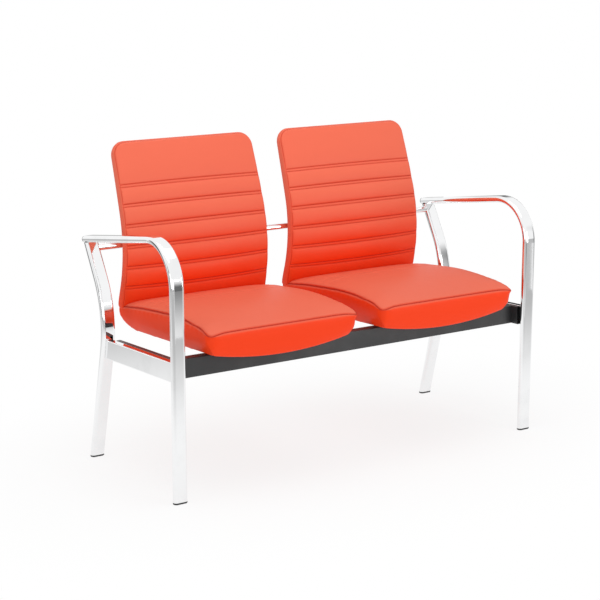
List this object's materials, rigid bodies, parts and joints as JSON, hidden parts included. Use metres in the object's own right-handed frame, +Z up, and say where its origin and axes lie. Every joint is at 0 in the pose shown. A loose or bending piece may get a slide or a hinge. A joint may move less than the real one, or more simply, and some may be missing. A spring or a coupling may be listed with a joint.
{
  "type": "two-seat waiting room bench",
  "caption": "Two-seat waiting room bench: channelled leatherette backs and padded seats on a black underframe, with chrome oval-tube legs that bend into arms.",
  "frame": {"origin": "on the floor, under the middle of the bench's length and depth", "axes": "+X along the bench to the sitter's left (the right of someone facing it), +Y to the back of the bench, +Z up"},
  "size_m": [1.19, 0.5489, 0.8631],
  "materials": {
    "chrome_tube": "polished chrome plating on steel tube",
    "black_frame": "satin black powder coat",
    "black_plastic": "moulded black plastic",
    "leatherette": "orange-red leatherette, soft satin",
    "plywood": "raw bent plywood",
    "zinc_steel": "zinc plated steel"
  },
  "bodies": {
    "root": {"frame_bolts": "zinc_steel", "frame_rivet_nuts": "zinc_steel", "front_beam": "black_frame", "left_arm_end_cap": "black_plastic", "left_back_cushion": "leatherette", "left_back_screws": "zinc_steel", "left_back_tee_nuts": "zinc_steel", "left_end_member": "black_frame", "left_front_foot_cap": "black_plastic", "left_front_leg_and_arm": "chrome_tube", "left_inner_back_bracket": "black_frame", "left_inner_seat_strap": "black_frame", "left_outer_back_bracket": "black_frame", "left_outer_cover": "leatherette", "left_outer_seat_strap": "black_frame", "left_rear_foot_cap": "black_plastic", "left_rear_leg": "chrome_tube", "left_seat_bolts": "zinc_steel", "left_seat_cushion": "leatherette", "left_seat_shell": "plywood", "left_seat_tee_nuts": "zinc_steel", "left_side_rail": "chrome_tube", "rear_crossbar": "chrome_tube", "right_arm_end_cap": "black_plastic", "right_back_cushion": "leatherette", "right_back_screws": "zinc_steel", "right_back_tee_nuts": "zinc_steel", "right_end_member": "black_frame", "right_front_foot_cap": "black_plastic", "right_front_leg_and_arm": "chrome_tube", "right_inner_back_bracket": "black_frame", "right_inner_seat_strap": "black_frame", "right_outer_back_bracket": "black_frame", "right_outer_cover": "leatherette", "right_outer_seat_strap": "black_frame", "right_rear_foot_cap": "black_plastic", "right_rear_leg": "chrome_tube", "right_seat_bolts": "zinc_steel", "right_seat_cushion": "leatherette", "right_seat_shell": "plywood", "right_seat_tee_nuts": "zinc_steel", "right_side_rail": "chrome_tube"}
  },
  "joints": []
}
